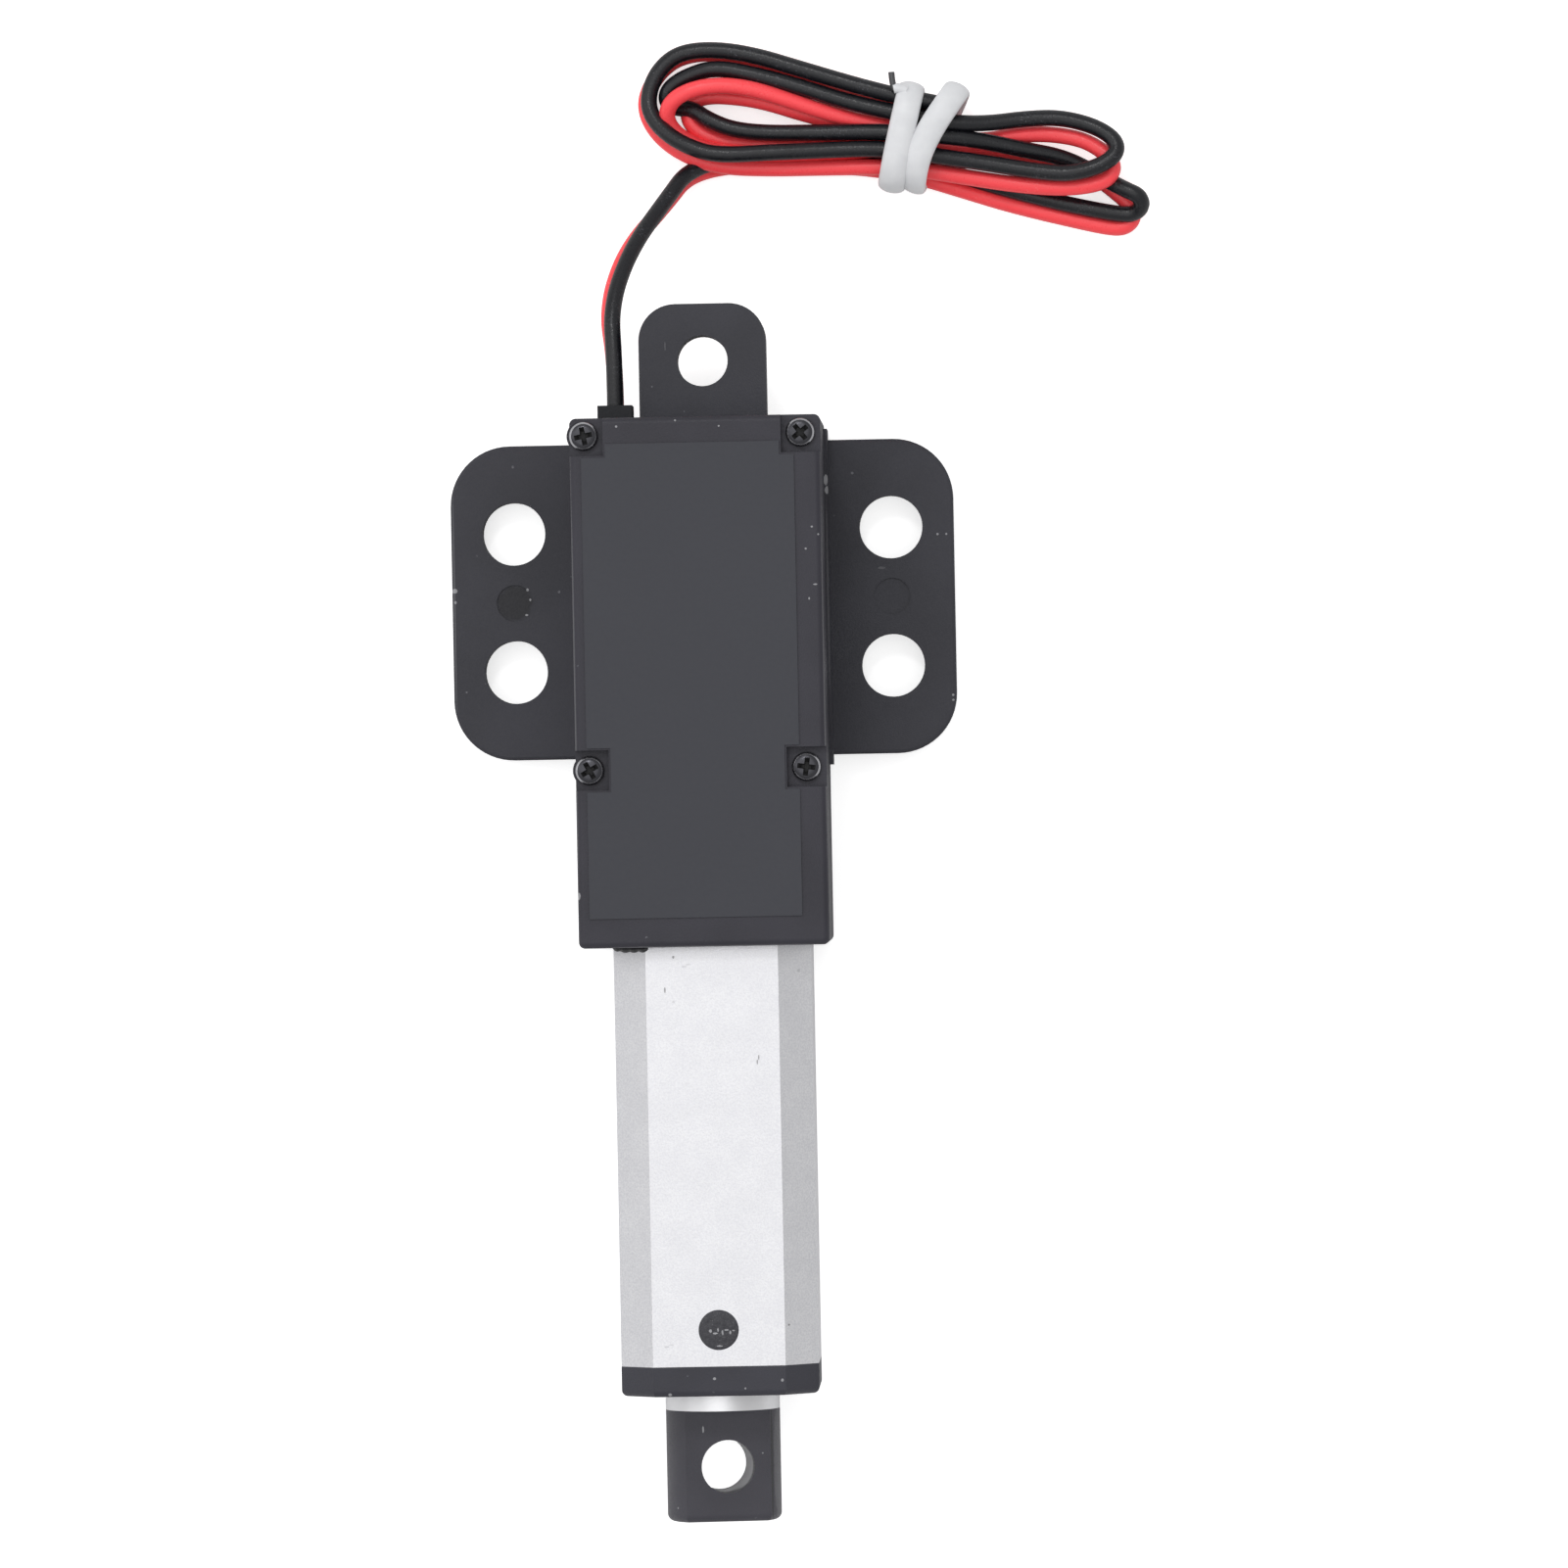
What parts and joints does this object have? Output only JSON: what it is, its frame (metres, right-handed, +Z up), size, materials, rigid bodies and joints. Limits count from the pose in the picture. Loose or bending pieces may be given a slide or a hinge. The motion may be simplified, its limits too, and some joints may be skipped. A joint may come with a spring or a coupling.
{
  "type": "electric linear actuator",
  "caption": "Small electric linear actuator: winged plastic gearbox housing with a rear eye, eight-sided barrel, sliding rod with a cross-hole end, and a tied two-wire lead.",
  "frame": {"origin": "centre of the rear eye's hole, on the actuator's axis", "axes": "+Z up from the back face along the rear eye's hole, +Y along the actuator towards the rear eye's tip, +X across the housing; the rod slides out towards -Y"},
  "size_m": [0.0565, 0.117, 0.0191],
  "materials": {
    "housing_plastic": "fine moulded grain, slightly satin",
    "cap_plastic": "moulded, fine flow marks",
    "label_film": "blank satin film",
    "screw_steel": "blackened steel with bright rims",
    "anodised_aluminium": "bead-blasted and clear anodised",
    "rod_aluminium": "drawn and clear anodised",
    "seal_rubber": "smooth",
    "bearing_steel": "ground",
    "motor_steel": "zinc plated",
    "brass_part": "turned",
    "white_acetal": "moulded",
    "circuit_board": "varnished laminate",
    "wire_black": "soft sheen",
    "wire_red": "soft sheen",
    "tie_white": "soft plastic-coated wire"
  },
  "bodies": {
    "housing": {"back_shell": "housing_plastic", "front_cover": "housing_plastic", "blank_label": "label_film", "cover_screws": "screw_steel", "barrel_tube": "anodised_aluminium", "end_cap": "cap_plastic", "rod_wiper_seal": "seal_rubber", "bearing_outer_race": "bearing_steel", "bearing_shields": "bearing_steel", "bearing_carrier": "brass_part", "motor_can": "motor_steel", "motor_end_bell": "cap_plastic", "motor_terminals": "brass_part", "gearbox_rear_plate": "bearing_steel", "gearbox_front_plate": "bearing_steel", "gearbox_posts": "brass_part", "layshaft_pin": "bearing_steel", "limit_switch_board": "circuit_board", "limit_switches": "cap_plastic", "steering_diodes": "cap_plastic", "cable_grommet": "seal_rubber", "lead_tails": "wire_black", "black_lead": "wire_black", "red_lead": "wire_red", "lead_hank": "wire_black", "hank_tie": "tie_white", "tie_core_wire": "bearing_steel"},
    "drive_screw": {"lead_screw": "screw_steel", "output_gear": "white_acetal", "bearing_inner_race": "bearing_steel", "screw_clip": "screw_steel"},
    "layshaft": {"compound_gear": "white_acetal"},
    "motor_rotor": {"motor_shaft": "bearing_steel", "motor_pinion": "brass_part"},
    "nut_guide": {"nut_guide_ring": "white_acetal"},
    "rod": {"lead_nut": "brass_part", "rod_tube": "rod_aluminium", "rod_end": "cap_plastic"}
  },
  "joints": [
    {"name": "rod_slide", "type": "slide", "parent": "housing", "child": "nut_guide", "axis": [0, -1, 0], "range_m": [0, 0.03]},
    {"name": "rod_turn", "type": "hinge", "parent": "nut_guide", "child": "rod", "pos_m": [0, -0.041, 0], "axis": [0, 1, 0], "range_deg": [-180, 180]},
    {"name": "screw_spin", "type": "hinge", "parent": "housing", "child": "drive_screw", "pos_m": [0, -0.036, 0], "axis": [0, 1, 0], "range_deg": [0, 5400]},
    {"name": "layshaft_spin", "type": "hinge", "parent": "housing", "child": "layshaft", "pos_m": [-0.00318, -0.0275, -0.00318], "axis": [0, 1, 0], "range_deg": [-21600, 0]},
    {"name": "motor_spin", "type": "hinge", "parent": "housing", "child": "motor_rotor", "pos_m": [0, -0.022, 0], "axis": [0, 1, 0], "range_deg": [0, 86400]}
  ],
  "couplings": [
    {"joint": "screw_spin", "follows": "rod_slide", "rad_per_m": 3141.6},
    {"joint": "layshaft_spin", "follows": "rod_slide", "rad_per_m": -12566},
    {"joint": "motor_spin", "follows": "rod_slide", "rad_per_m": 50265}
  ]
}
